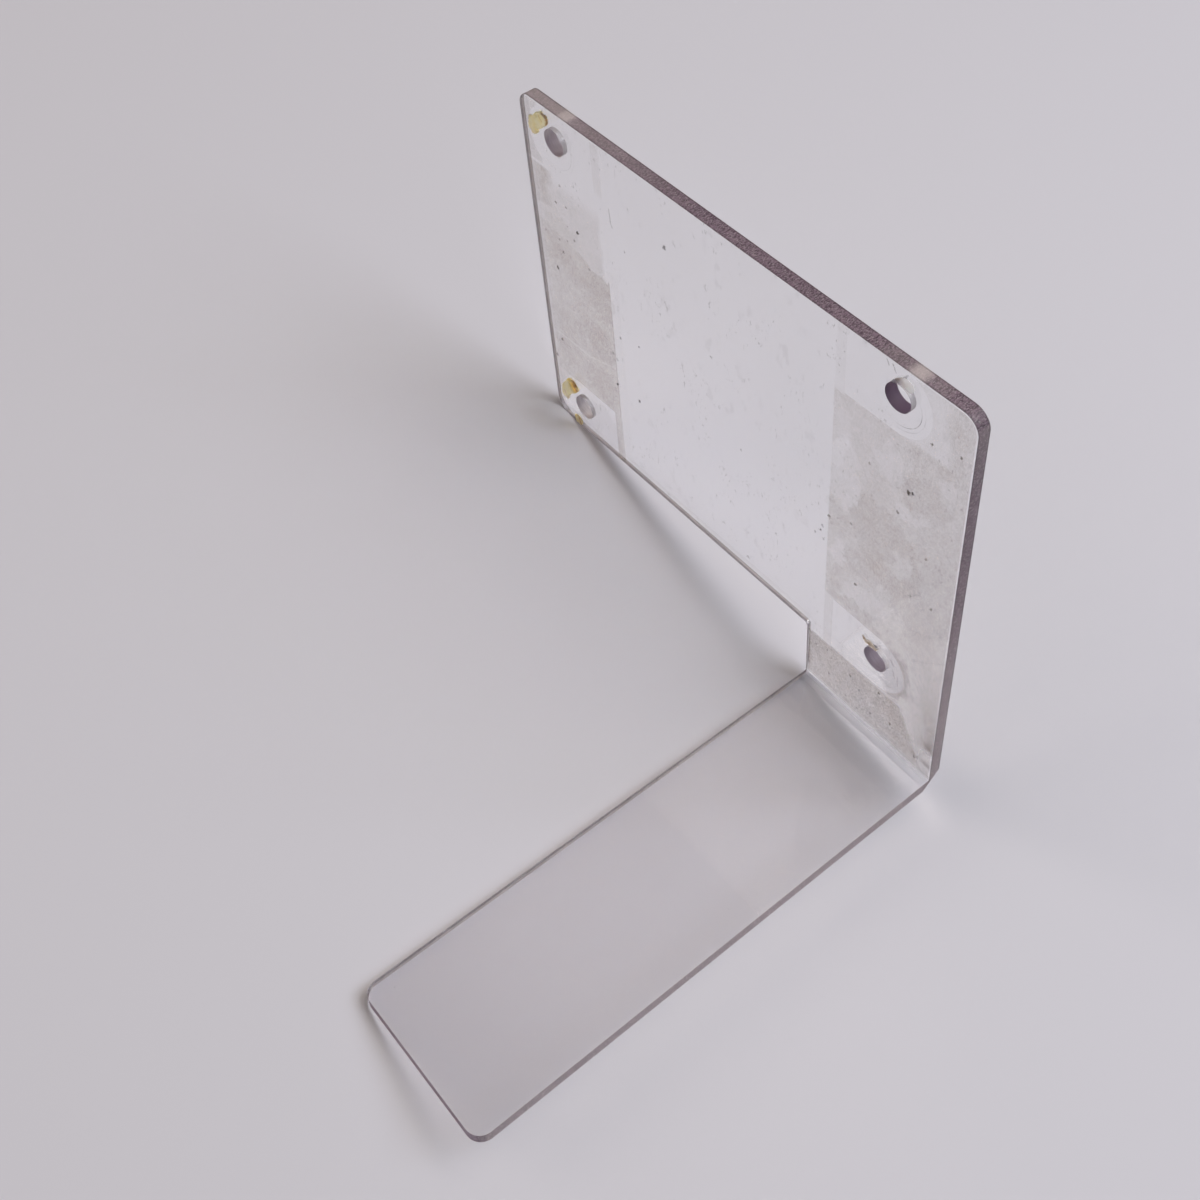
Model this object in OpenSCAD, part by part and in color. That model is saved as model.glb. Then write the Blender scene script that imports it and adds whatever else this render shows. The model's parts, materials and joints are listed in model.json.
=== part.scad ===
// Bent clear plastic phone stand: an upright panel with four holes, and a long
// narrow foot that is folded forward from the neck under the panel's right side.
// The old tape adhesive and dried glue that stick to the panel are separate solids.
//
// Origin: middle of the bounding box in X and Y, lowest line of the bend in Z.
// +X runs along the panel to the neck's side, +Y out of the panel's back, +Z up.
// All sizes are in millimetres.

/* [Sheet] */
// Thickness of the sheet
sheet_t = 3; // [2.5:0.5:4]
// Angle inside the bend, between the panel and the foot
bend_angle = 87; // [85:1:90]
// How far the flattened outer corner of the bend reaches up the panel and along the foot
bend_flat = 1.5; // [1:0.25:2]

/* [Panel] */
// Width of the panel
panel_w = 129.5; // [124:0.5:150]
// Height of the panel, from its lower edge to its top edge
panel_h = 96; // [94:1:110]
// Height of the neck, from the inside of the bend to the panel's lower edge
neck_h = 18; // [12:1:24]
// Radius of the panel's lower left corner
lower_left_r = 4.5; // [2:0.5:8]
// Radius of the panel's upper left corner
upper_left_r = 3.5; // [2:0.5:8]
// Radius of the panel's upper right corner
upper_right_r = 4; // [2:0.5:8]
// Radius of the inside corner between the panel and the neck
step_r = 1; // [0.5:0.5:3]

/* [Holes] */
// Diameter of each hole
hole_d = 6.4; // [4:0.1:8]
// Distance between hole centres along the panel
hole_pitch_x = 100; // [90:0.5:104]
// Distance between hole centres up the panel
hole_pitch_z = 80; // [70:0.5:80]
// From the panel's left edge to the centres of the left holes
hole_from_left = 11; // [10:0.5:14]
// From the panel's lower edge to the centres of the lower holes
hole_from_below = 8; // [7:0.5:9]

/* [Foot] */
// Width of the foot and of the neck above it
foot_w = 39; // [36:0.5:50]
// Length of the foot, from the inside of the bend to its free end
foot_l = 120.5; // [90:0.5:150]
// Radius of the free end's left corner
foot_left_r = 3; // [2:0.5:6]
// Radius of the free end's right corner
foot_right_r = 3.5; // [2:0.5:6]

/* [Tape residue] */
// Thickness of the adhesive film
film_t = 0.1; // [0.1:0.05:0.2]
// Width of the left strip, from the panel's left edge
film_left_w = 26.5; // [25:0.5:30]
// Width of the right strip, from the panel's right edge
film_right_w = 34; // [33:0.5:38]
// Bare margin between the film and the sheet's edges
film_margin = 0.8; // [0.5:0.1:1.5]
// Radius of the clean tab shape round each hole
tab_r = 8.5; // [7:0.5:9]
// Length of the clean tab shape, from the hole's centre toward the panel's middle
tab_l = 13; // [12:0.5:14]

/* [Glue] */
// Thickness of the glue flakes
flake_t = 0.6; // [0.4:0.1:1]
// Thickness of the thin glue traces
trace_t = 0.3; // [0.2:0.1:0.4]

/* [Hidden] */
$fn = 96;

// Small overlap that lets a cut pass cleanly through a face
cut = 0.5;
// The foot rises by this angle toward its free end when the panel is upright
foot_rise = 90 - bend_angle;
// Left side of the neck and the foot, from the panel's left edge
neck_x = panel_w - foot_w;
// Depth of the sheet's lowest line below the inside of the bend
bend_drop = sheet_t * cos(foot_rise) - bend_flat * sin(foot_rise);
// Reach of the foot in front of the panel's front face
foot_reach = foot_l * cos(foot_rise) + sheet_t * sin(foot_rise);
// Bare gap between the inside of the bend and the film on the neck
film_bend_gap = 1;

// Places the sheet's own frame, with the inside of the bend at its left end as
// the zero point, so that the origin is the bottom centre of the whole object
module in_frame() {
    translate([-panel_w / 2, (foot_reach - sheet_t) / 2, bend_drop]) children();
}

// A rectangle with its own radius at each corner: lower left, lower right,
// upper right, upper left. A radius of zero leaves the corner square
module plate_outline(w, h, radii) {
    corners = [[0, 0], [w, 0], [w, h], [0, h]];
    difference() {
        square([w, h]);
        for (i = [0:3])
            if (radii[i] > 0)
                translate(corners[i]) rotate(90 * i) corner_waste(radii[i]);
    }
}

// What rounding removes from the lower left corner of a square
module corner_waste(r) {
    difference() {
        translate([-cut, -cut]) square(r + cut);
        translate([r, r]) circle(r);
    }
}

// Turns a drawing in the panel's plane into a plate. The drawing's Y becomes +Z,
// and the plate runs from depth `front` to depth `front + t` along +Y
module stand_up(t, front = 0) {
    translate([0, front + t, 0]) rotate([90, 0, 0]) linear_extrude(t) children();
}

// Centre of a hole in the panel's drawing. Column 0 is the left one, row 0 the lower
function hole_at(column, row) = [hole_from_left + column * hole_pitch_x,
                                 neck_h + hole_from_below + row * hole_pitch_z];

// Puts its children at the four hole centres of the panel's drawing
module at_holes() {
    for (column = [0, 1], row = [0, 1]) translate(hole_at(column, row)) children();
}

// Panel and neck, drawn flat from the bend's flattened corner upward
module panel_outline() {
    difference() {
        union() {
            translate([0, neck_h])
                plate_outline(panel_w, panel_h, [lower_left_r, 0, upper_right_r, upper_left_r]);
            translate([neck_x, bend_flat]) square([foot_w, neck_h - bend_flat + cut]);
            translate([neck_x, neck_h]) rotate(180) corner_fill(step_r);
        }
        at_holes() circle(d = hole_d);
    }
}

// What an inside corner gains when it is filled with a radius
module corner_fill(r) {
    difference() {
        square(r);
        translate([r, r]) circle(r);
    }
}

// Cross-section of the foot and the bend in the YZ plane. The bend is sharp inside
// and flattened outside, where the stretched sheet is thinnest
module foot_section() {
    along = [-cos(foot_rise), sin(foot_rise)];
    down = [-sin(foot_rise), -cos(foot_rise)];
    polygon([[0, 0], [0, bend_flat], [sheet_t, bend_flat],
             bend_flat * along + sheet_t * down,
             foot_l * along + sheet_t * down,
             foot_l * along]);
}

// What rounding removes from the two corners at the foot's free end
module foot_end_waste() {
    rotate([-foot_rise, 0, 0])
        translate([neck_x, -foot_l, -sheet_t - cut])
            linear_extrude(sheet_t + 2 * cut) {
                corner_waste(foot_left_r);
                translate([foot_w, 0]) rotate(90) corner_waste(foot_right_r);
            }
}

// The single sheet: cut to an outline, drilled and bent once
module bent_sheet() {
    color([0.86, 0.87, 0.88, 0.35]) in_frame() {
        stand_up(sheet_t) panel_outline();
        difference() {
            translate([neck_x, 0, 0]) rotate([90, 0, 90]) linear_extrude(foot_w) foot_section();
            foot_end_waste();
        }
    }
}

// Clean shapes that four clamp tabs left in the film: round at the outer end,
// square toward the panel's middle
module tab_shapes() {
    for (column = [0, 1], row = [0, 1])
        translate(hole_at(column, row)) {
            circle(tab_r);
            translate([column == 0 ? 0 : -tab_l, -tab_r]) square([tab_l, 2 * tab_r]);
        }
}

// Film on the left strip of the panel's front face
module tape_residue_left() {
    color([0.62, 0.60, 0.58, 0.4]) in_frame() stand_up(film_t, -film_t)
        difference() {
            translate([film_margin, neck_h + film_margin])
                plate_outline(film_left_w - film_margin, panel_h - 2 * film_margin,
                              [lower_left_r, 0, 0, upper_left_r]);
            tab_shapes();
        }
}

// Film on the right strip of the panel's front face and down the neck
module tape_residue_right() {
    color([0.60, 0.57, 0.54, 0.4]) in_frame() stand_up(film_t, -film_t)
        difference() {
            union() {
                translate([panel_w - film_right_w, neck_h])
                    plate_outline(film_right_w - film_margin, panel_h - film_margin,
                                  [0, 0, upper_right_r, 0]);
                translate([neck_x + film_margin, film_bend_gap])
                    square([foot_w - 2 * film_margin, neck_h - film_bend_gap + cut]);
            }
            tab_shapes();
        }
}

// A thin lump of glue on the panel's front face. The points are measured from
// the centre of the hole beside it, across and up
module glue(points, t, column, row) {
    in_frame() stand_up(t, -t) translate(hole_at(column, row)) polygon(points);
}

// Ragged leaf of glue to the left of the upper left hole
module glue_flake_upper() {
    color([0.68, 0.64, 0.24, 0.8])
        glue([[-1.0, 6.1], [-2.9, 6.3], [-4.4, 5.7], [-5.4, 4.8], [-6.2, 3.7], [-7.4, 3.2],
              [-8.0, 1.2], [-7.0, -0.9], [-5.5, -0.6], [-5.0, 0.9], [-4.1, 2.0], [-2.9, 2.6],
              [-1.6, 4.0], [-0.9, 5.4]], flake_t, 0, 1);
}

// Arched claw of glue over the lower left hole's left side
module glue_flake_lower() {
    color([0.78, 0.62, 0.18, 0.85])
        glue([[-1.3, 5.4], [-3.1, 7.0], [-4.3, 7.1], [-5.3, 6.3], [-6.8, 4.3], [-7.9, 2.4],
              [-8.2, -0.5], [-6.1, -1.4], [-5.2, 0.8], [-4.6, 1.9], [-3.2, 2.9], [-1.8, 4.1]],
             flake_t, 0, 0);
}

// Small streak of glue between the lower left hole and the panel's lower edge
module glue_streak() {
    color([0.66, 0.55, 0.25, 0.8])
        glue([[-1.6, -4.8], [-2.9, -4.7], [-4.1, -5.4], [-4.3, -6.6], [-3.6, -7.5],
              [-2.4, -7.8], [-1.4, -7.0], [-1.3, -5.8]], trace_t, 0, 0);
}

// Thin tan patch of glue on the upper side of the upper right hole
module glue_patch() {
    color([0.66, 0.60, 0.52, 0.6])
        glue([[-1.1, 4.1], [0.4, 5.5], [1.7, 6.1], [3.2, 5.6], [3.8, 4.4], [2.9, 3.4],
              [1.6, 3.6], [0.2, 3.6]], trace_t, 1, 1);
}

// Small brown curl of glue on the upper side of the lower right hole
module glue_curl() {
    color([0.42, 0.36, 0.28, 0.8])
        glue([[-3.9, 5.2], [-2.8, 4.5], [-1.8, 5.2], [-0.8, 4.9], [0.2, 4.2], [0.9, 5.4],
              [0.4, 3.6], [-0.6, 3.5], [-1.7, 3.7], [-2.6, 3.4], [-3.5, 4.0]], trace_t, 1, 0);
}

bent_sheet();
tape_residue_left();
tape_residue_right();
glue_flake_upper();
glue_flake_lower();
glue_streak();
glue_patch();
glue_curl();
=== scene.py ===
# %% [markdown]
# # A phone stand bent from one clear plastic sheet
#
# The stand is a single sheet: an upright panel with a hole near each corner, and
# a long narrow foot folded forward from a neck under the panel's right side. Tape
# was pulled off its two sides, so a grey film of adhesive is left there, and a few
# drops of yellow glue have dried beside the holes.
#
# Clear plastic has hardly any colour of its own. What makes it look real is its
# thickness, its sawn edges, the bend, and the dirt on it. So the sheet is modelled
# as a true solid that light bends through, and each layer of dirt is a piece of
# its own that lies on the sheet.

# %% Load the frame
import json
import math

import bpy
from mathutils import Matrix, Vector

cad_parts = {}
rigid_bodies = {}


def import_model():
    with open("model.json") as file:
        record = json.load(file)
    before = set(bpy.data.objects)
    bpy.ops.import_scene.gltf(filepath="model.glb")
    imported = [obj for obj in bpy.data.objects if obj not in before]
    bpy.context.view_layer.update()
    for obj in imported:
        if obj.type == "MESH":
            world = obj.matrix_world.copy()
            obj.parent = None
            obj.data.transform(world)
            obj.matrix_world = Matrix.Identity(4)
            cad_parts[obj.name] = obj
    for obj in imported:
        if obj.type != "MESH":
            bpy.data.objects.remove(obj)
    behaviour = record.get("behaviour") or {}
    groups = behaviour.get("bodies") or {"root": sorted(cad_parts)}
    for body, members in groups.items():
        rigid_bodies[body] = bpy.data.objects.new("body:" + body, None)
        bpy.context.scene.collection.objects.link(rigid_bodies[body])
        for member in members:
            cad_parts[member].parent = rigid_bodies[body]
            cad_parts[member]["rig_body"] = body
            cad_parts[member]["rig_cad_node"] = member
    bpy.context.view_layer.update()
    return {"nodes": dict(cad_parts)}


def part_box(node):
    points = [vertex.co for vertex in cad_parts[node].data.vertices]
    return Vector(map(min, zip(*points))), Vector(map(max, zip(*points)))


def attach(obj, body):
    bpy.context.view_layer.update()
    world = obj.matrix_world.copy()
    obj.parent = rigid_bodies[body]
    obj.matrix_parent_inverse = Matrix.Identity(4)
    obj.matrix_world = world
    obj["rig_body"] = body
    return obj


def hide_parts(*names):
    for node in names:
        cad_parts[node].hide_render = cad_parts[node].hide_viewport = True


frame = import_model()
print("CAD nodes:", ", ".join(sorted(frame["nodes"])))

# %% [markdown]
# ## Sizes
#
# The stand has few driving sizes. The ones that can be read from the frame are
# read from it. The others are the sheet's thickness, the bend and the radii, in
# millimetres times `mm`, because Blender works in metres.

# %% Sizes of the sheet
mm = 0.001
sheet_low, sheet_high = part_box("bent_sheet")
panel_w = sheet_high.x - sheet_low.x
sheet_t = 3 * mm
bend_flat = 1.5 * mm
foot_rise = math.radians(3)
foot_w = 39 * mm
foot_l = 120.5 * mm
neck_h = 18 * mm

left_x = sheet_low.x
right_x = sheet_high.x
neck_x = right_x - foot_w
back_y = sheet_high.y
front_y = back_y - sheet_t
top_z = sheet_high.z
crease_z = sheet_t * math.cos(foot_rise) - bend_flat * math.sin(foot_rise)
panel_low_z = crease_z + neck_h
panel_h = top_z - panel_low_z

hole_r = 3.2 * mm
hole_columns = (left_x + 11 * mm, left_x + 111 * mm)
hole_rows = (panel_low_z + 8 * mm, panel_low_z + 88 * mm)

foot_along = Vector((0, -math.cos(foot_rise), math.sin(foot_rise)))
foot_down = Vector((0, -math.sin(foot_rise), -math.cos(foot_rise)))
crease = Vector((0, front_y, crease_z))
print(f"panel {panel_w / mm:.1f} x {panel_h / mm:.1f} mm, crease at {crease_z / mm:.2f} mm")

# %% [markdown]
# ## Small helpers for modelling
#
# An operator acts on everything that is selected, so each step starts by
# selecting exactly what it needs. `pick` selects faces, edges or vertices by a
# rule on their place, and leaves the object in edit mode for the next operator.

# %% Selecting and finishing
def alone(piece):
    """Only this object is selected and active, in object mode."""
    if bpy.context.mode != "OBJECT":
        bpy.ops.object.mode_set(mode="OBJECT")
    bpy.ops.object.select_all(action="DESELECT")
    piece.select_set(True)
    bpy.context.view_layer.objects.active = piece


def pick(piece, kind, rule):
    """Selects the faces, edges or vertices that the rule accepts, in edit mode."""
    alone(piece)
    mesh = piece.data
    for part in (*mesh.polygons, *mesh.edges, *mesh.vertices):
        part.select = False
    if kind == "FACE":
        chosen = [f for f in mesh.polygons if rule(f)]
    elif kind == "EDGE":
        chosen = [e for e in mesh.edges if rule(*(mesh.vertices[v].co for v in e.vertices))]
    else:
        chosen = [v for v in mesh.vertices if rule(v.co)]
    for part in chosen:
        part.select = True
    bpy.context.tool_settings.mesh_select_mode = (kind == "VERT", kind == "EDGE", kind == "FACE")
    bpy.ops.object.mode_set(mode="EDIT")
    return len(chosen)


def new_piece(name):
    """Names the primitive just added, and writes its place into its mesh."""
    piece = bpy.context.active_object
    piece.name = name
    piece.data.name = name
    alone(piece)
    bpy.ops.object.transform_apply(location=True, rotation=True, scale=True)
    return piece


def modify(piece, kind, **settings):
    """Adds one modifier, sets it and applies it."""
    alone(piece)
    modifier = piece.modifiers.new(kind.lower(), kind)
    for name, value in settings.items():
        setattr(modifier, name, value)
    bpy.ops.object.modifier_apply(modifier=modifier.name)


def upright_plane(name, x0, x1, z0, z1, y):
    """A rectangle that stands in the panel's plane and faces forward."""
    bpy.ops.object.select_all(action="DESELECT")
    bpy.ops.mesh.primitive_plane_add(
        size=1, location=((x0 + x1) / 2, y, (z0 + z1) / 2), rotation=(math.pi / 2, 0, 0))
    bpy.context.active_object.scale = (x1 - x0, z1 - z0, 1)
    return new_piece(name)


def cut_with(piece, cutter):
    """Subtracts the cutter's volume and deletes the cutter."""
    modify(piece, "BOOLEAN", operation="DIFFERENCE", solver="EXACT", object=cutter)
    bpy.data.objects.remove(cutter)


def near(a, b, slack=0.02 * mm):
    return abs(a - b) < slack


def report(piece):
    alone(piece)
    low, high = (Vector([f(v.co[i] for v in piece.data.vertices) / mm for i in range(3)])
                 for f in (min, max))
    size = " x ".join(f"{x:.2f}" for x in high - low)
    print(f"{piece.name}: {len(piece.data.polygons)} faces, {size} mm")

# %% [markdown]
# ## The bent sheet
#
# The real sheet was cut to an outline, drilled, and folded along a heated line.
# It could be modelled as two plates joined at the bend, but a seam would show
# inside clear plastic. So it starts as one flat outline: a plane for the panel,
# with the neck and the foot extruded from its lower edge. Solidify then gives it
# its thickness all at once, with an even offset, so that the two plates meet in a
# clean mitre.

# %% Flat outline, folded at the crease
sheet = upright_plane("clear_sheet", left_x, right_x, panel_low_z, top_z, front_y)

alone(sheet)
bpy.ops.object.mode_set(mode="EDIT")
bpy.ops.mesh.select_all(action="SELECT")
bpy.ops.mesh.bisect(plane_co=(neck_x, 0, 0), plane_no=(1, 0, 0))

pick(sheet, "EDGE", lambda a, b: near(a.z, panel_low_z) and near(b.z, panel_low_z)
     and (a.x + b.x) / 2 > neck_x)
bpy.ops.mesh.extrude_region_move(TRANSFORM_OT_translate={"value": (0, 0, -neck_h)})
bpy.ops.mesh.extrude_region_move(TRANSFORM_OT_translate={"value": foot_along * foot_l})
bpy.ops.mesh.select_all(action="SELECT")
bpy.ops.mesh.normals_make_consistent(inside=False)
bpy.ops.mesh.dissolve_limited(angle_limit=math.radians(1))
bpy.ops.object.mode_set(mode="OBJECT")
if sheet.data.polygons[0].normal.y > 0:
    sheet.data.flip_normals()
modify(sheet, "SOLIDIFY", thickness=sheet_t, offset=-1, use_even_offset=True)
report(sheet)

# %% [markdown]
# The corners are bevelled one by one, each with its own radius, because the saw
# and the file never left two alike. Bevel works on the short edges that run
# through the thickness. On the inner corner between panel and neck it fills
# material in instead of taking it away, which is just what a fillet is.

# %% Rounded corners
def through_edge(x, z, foot_end=False):
    """Accepts the edge that crosses the thickness at this corner of the outline."""
    def rule(a, b):
        if not (near(a.x, x) and near(b.x, x)):
            return False
        if foot_end:
            return max(a.y, b.y) < front_y - foot_l * 0.9
        return near(a.z, z) and near(b.z, z)
    return rule


corners = (
    (left_x, panel_low_z, False, 4.5 * mm),
    (left_x, top_z, False, 3.5 * mm),
    (right_x, top_z, False, 4 * mm),
    (neck_x, panel_low_z, False, 1 * mm),
    (neck_x, 0, True, 3 * mm),
    (right_x, 0, True, 3.5 * mm),
)
corner_steps = 14
for x, z, foot_end, radius in corners:
    found = pick(sheet, "EDGE", through_edge(x, z, foot_end))
    bpy.ops.mesh.bevel(offset=radius, segments=corner_steps, affect="EDGES", profile=0.5)
    print(f"corner radius {radius / mm:.1f} mm on {found} edge")
alone(sheet)

# %% [markdown]
# A hot bend stretches the outside of the sheet, so its outer corner isn't sharp:
# it is pulled to a narrow flat. One bisect cuts the mitre's tip off and fills the
# cut. The holes are true cylinders, subtracted through the whole thickness, with
# many sides because light passing along their walls shows every facet.

# %% Flattened bend and drilled holes
flat_on_panel = Vector((0, back_y, crease_z + bend_flat))
flat_on_foot = crease + foot_along * bend_flat + foot_down * sheet_t
flat_run = flat_on_panel - flat_on_foot
flat_normal = flat_run.cross(Vector((1, 0, 0))).normalized()
alone(sheet)
bpy.ops.object.mode_set(mode="EDIT")
bpy.ops.mesh.select_all(action="SELECT")
bpy.ops.mesh.bisect(plane_co=flat_on_panel, plane_no=flat_normal,
                    use_fill=True, clear_outer=True)
print("bend flattened, facing", tuple(round(x, 3) for x in flat_normal))

hole_sides = 96
for hole_x in hole_columns:
    for hole_z in hole_rows:
        alone(sheet)
        bpy.ops.mesh.primitive_cylinder_add(
            vertices=hole_sides, radius=hole_r, depth=3 * sheet_t,
            location=(hole_x, front_y + sheet_t / 2, hole_z), rotation=(math.pi / 2, 0, 0))
        cut_with(sheet, new_piece("drill"))
report(sheet)

# %% [markdown]
# No real edge is perfectly sharp. A bevel of 0.15 mm on every edge is enough to
# catch a thin line of light all the way round. Shading is smooth only where faces
# meet at a small angle, so that the broad faces stay optically flat.

# %% Softened edges
edge_softness = 0.15 * mm
modify(sheet, "BEVEL", width=edge_softness, segments=2, limit_method="ANGLE",
       angle_limit=math.radians(35))
alone(sheet)
bpy.ops.object.shade_smooth_by_angle(angle=math.radians(20))
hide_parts("bent_sheet")
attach(sheet, "root")
report(sheet)

# %% [markdown]
# ## Tape film
#
# Two strips of double-sided tape were pulled off the panel's front, and their
# adhesive stayed behind. Where four clamps held the panel, the plastic is clean,
# in a shape like a tab with a round end. Each film starts as an upright plane, is
# cut around the tabs, and gets a few hundredths of a millimetre of thickness. It
# hovers just off the sheet, so that the two surfaces never fight for the same place.

# %% Film strips
film_gap = 0.02 * mm
film_t = 0.06 * mm
film_margin = 0.4 * mm
film_bend_gap = 0.4 * mm
film_left_w = 29 * mm
film_right_w = 38.2 * mm
tab_r = 8.5 * mm
tab_l = 13 * mm
film_y = front_y - film_gap


def cut_tab(film, hole_x, hole_z, toward):
    """Cuts the clean tab round one hole. `toward` is +1 or -1, to the panel's middle.

    The square cutter is a hair narrower than the round one and a little deeper, so
    that no two of their faces lie in one plane.
    """
    middle = film_y - film_t / 2
    alone(film)
    bpy.ops.mesh.primitive_cylinder_add(
        vertices=64, radius=tab_r, depth=1 * mm,
        location=(hole_x, middle, hole_z), rotation=(math.pi / 2, 0, 0))
    cut_with(film, new_piece("round_end"))
    alone(film)
    bpy.ops.mesh.primitive_cube_add(size=1, location=(hole_x + toward * tab_l / 2, middle, hole_z))
    bpy.context.active_object.scale = (tab_l, 1.2 * mm, 2 * tab_r - 0.01 * mm)
    cut_with(film, new_piece("square_end"))


film_left = upright_plane("tape_film_left", left_x + film_margin, left_x + film_left_w,
                          panel_low_z + film_margin, top_z - film_margin, film_y)
for z, radius in ((panel_low_z + film_margin, 4 * mm), (top_z - film_margin, 3 * mm)):
    pick(film_left, "VERT", lambda p: near(p.x, left_x + film_margin) and near(p.z, z))
    bpy.ops.mesh.bevel(offset=radius, segments=8, affect="VERTICES", profile=0.5)
modify(film_left, "SOLIDIFY", thickness=film_t, offset=1)
for hole_z in hole_rows:
    cut_tab(film_left, hole_columns[0], hole_z, 1)
report(film_left)

film_right = upright_plane("tape_film_right", right_x - film_right_w, right_x - film_margin,
                           panel_low_z, top_z - film_margin, film_y)
pick(film_right, "VERT", lambda p: near(p.x, right_x - film_margin) and p.z > panel_low_z + neck_h)
bpy.ops.mesh.bevel(offset=3.5 * mm, segments=8, affect="VERTICES", profile=0.5)
pick(film_right, "EDGE", lambda a, b: near(a.z, panel_low_z) and near(b.z, panel_low_z))
bpy.ops.mesh.extrude_region_move(TRANSFORM_OT_translate={"value": (0, 0, film_bend_gap - neck_h)})
modify(film_right, "SOLIDIFY", thickness=film_t, offset=1)
for hole_z in hole_rows:
    cut_tab(film_right, hole_columns[1], hole_z, -1)
report(film_right)

for film, node in ((film_left, "tape_residue_left"), (film_right, "tape_residue_right")):
    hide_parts(node)
    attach(film, "root")

# %% [markdown]
# ## Dried glue
#
# The glue dried in crusts with torn rims and an uneven top. The CAD nodes already
# have the right outlines, as flat plates. A copy of each one is merged into a closed
# mesh and remeshed fine enough to hold lumps. Then it is displaced twice with cloud
# patterns: along its normals, which tears the rim, and along Y, which makes the top
# uneven.

# %% Lumpy crusts
def clouds(name, size):
    texture = bpy.data.textures.new(name, "CLOUDS")
    texture.noise_scale = size
    return texture


def crust(node, name, voxel, height, torn, tears=0.7 * mm):
    """A lumpy copy of a glue node. `torn` is how deep the rim is torn."""
    source = frame["nodes"][node]
    alone(source)
    bpy.ops.object.duplicate()
    piece = bpy.context.active_object
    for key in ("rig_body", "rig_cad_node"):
        del piece[key]
    piece.parent = None
    piece.name = name
    piece.data.name = name
    piece.data.materials.clear()
    alone(piece)
    bpy.ops.object.mode_set(mode="EDIT")
    bpy.ops.mesh.select_all(action="SELECT")
    bpy.ops.mesh.remove_doubles(threshold=0.001 * mm)
    bpy.ops.mesh.dissolve_limited(angle_limit=math.radians(1))
    bpy.ops.transform.translate(value=(0, -film_gap, 0))
    pick(piece, "EDGE", lambda a, b: max(a.y, b.y) < front_y - 0.1 * mm)
    bpy.ops.mesh.bevel(offset=height * 0.4, segments=2, affect="EDGES", profile=0.5)
    modify(piece, "REMESH", mode="VOXEL", voxel_size=voxel)
    alone(piece)
    modify(piece, "DISPLACE", texture=clouds(name + "_rim", tears), texture_coords="LOCAL",
           direction="NORMAL", strength=torn * 2, mid_level=0.42)
    modify(piece, "DISPLACE", texture=clouds(name + "_top", 1.3 * mm), texture_coords="LOCAL",
           direction="Y", strength=height * 0.8, mid_level=0.5)
    for v in piece.data.vertices:
        v.co.y = min(max(v.co.y, front_y - film_gap - height), front_y - film_gap)
    modify(piece, "SMOOTH", factor=0.5, iterations=1)
    alone(piece)
    bpy.ops.object.shade_smooth()
    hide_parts(node)
    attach(piece, "root")
    report(piece)
    return piece


flake_t = 0.6 * mm
trace_t = 0.3 * mm
stain_t = 0.12 * mm
flake_upper = crust("glue_flake_upper", "glue_crust_upper", 0.08 * mm, flake_t, 0.55 * mm, 0.9 * mm)
flake_lower = crust("glue_flake_lower", "glue_crust_lower", 0.08 * mm, flake_t, 0.25 * mm)
streak = crust("glue_streak", "glue_smear", 0.06 * mm, trace_t, 0.2 * mm)
patch = crust("glue_patch", "glue_stain", 0.06 * mm, stain_t, 0.2 * mm)
curl = crust("glue_curl", "glue_thread", 0.05 * mm, trace_t, 0.12 * mm)

# %% [markdown]
# ## Writing materials as expressions
#
# A procedural material is mostly arithmetic on positions and noise. `Wire` wraps
# one socket, so that `1 - mask * 0.4` adds the Math nodes by itself. `NodeTree` adds
# any other node through a single method, to a material or to the world, and `Finish`
# is the node tree of one material, with the patterns that this stand needs.
#
# Every finish measures places in millimetres: `across` from the panel's left edge,
# `up` from its lower edge, and `forward` from its front face toward the foot's end.
# A mask is a number from 0 to 1 that says where a mark is.

# %% Wire
class Wire:
    """A number that flows between nodes, which Python's operators work on."""

    def __init__(self, tree, socket):
        self.tree = tree
        self.socket = socket

    def maths(self, operation, *values):
        return self.tree.node("ShaderNodeMath", {"operation": operation}, dict(enumerate(values)))

    def __add__(self, other): return self.maths("ADD", self, other)
    def __radd__(self, other): return self.maths("ADD", other, self)
    def __sub__(self, other): return self.maths("SUBTRACT", self, other)
    def __rsub__(self, other): return self.maths("SUBTRACT", other, self)
    def __mul__(self, other): return self.maths("MULTIPLY", self, other)
    def __rmul__(self, other): return self.maths("MULTIPLY", other, self)
    def __truediv__(self, other): return self.maths("DIVIDE", self, other)
    def __abs__(self): return self.maths("ABSOLUTE", self)
    def root(self): return self.maths("SQRT", self)
    def most(self, other): return self.maths("MAXIMUM", self, other)
    def below(self, limit): return self.maths("LESS_THAN", self, limit)

    def ramp(self, start, end, low=0.0, high=1.0):
        """Rises smoothly from low to high as the value goes from start to end."""
        return self.tree.node("ShaderNodeMapRange", {"interpolation_type": "SMOOTHSTEP"},
                              {"Value": self, "From Min": start, "From Max": end,
                               "To Min": low, "To Max": high})

# %% Node tree
class NodeTree:
    """The nodes of a material or of the world."""

    def __init__(self, owner):
        owner.use_nodes = True
        self.tree = owner.node_tree

    def plug(self, socket, value):
        if isinstance(value, Wire):
            self.tree.links.new(value.socket, socket)
        elif isinstance(value, tuple) and len(value) == 3 and socket.type == "RGBA":
            socket.default_value = (*value, 1)
        else:
            socket.default_value = value

    def node(self, kind, settings, values, output=0):
        """Adds a node: its settings first, then its sockets. Returns one output."""
        node = self.tree.nodes.new(kind)
        for name, value in settings.items():
            setattr(node, name, value)
        for name, value in values.items():
            self.plug(node.inputs[name], value)
        return Wire(self, node.outputs[output])

    def blend(self, share, first, second):
        """Mixes two colours. The Mix node's colour sockets share their names, so they go by number."""
        return self.node("ShaderNodeMix", {"data_type": "RGBA"}, {0: share, 6: first, 7: second}, 2)

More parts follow.
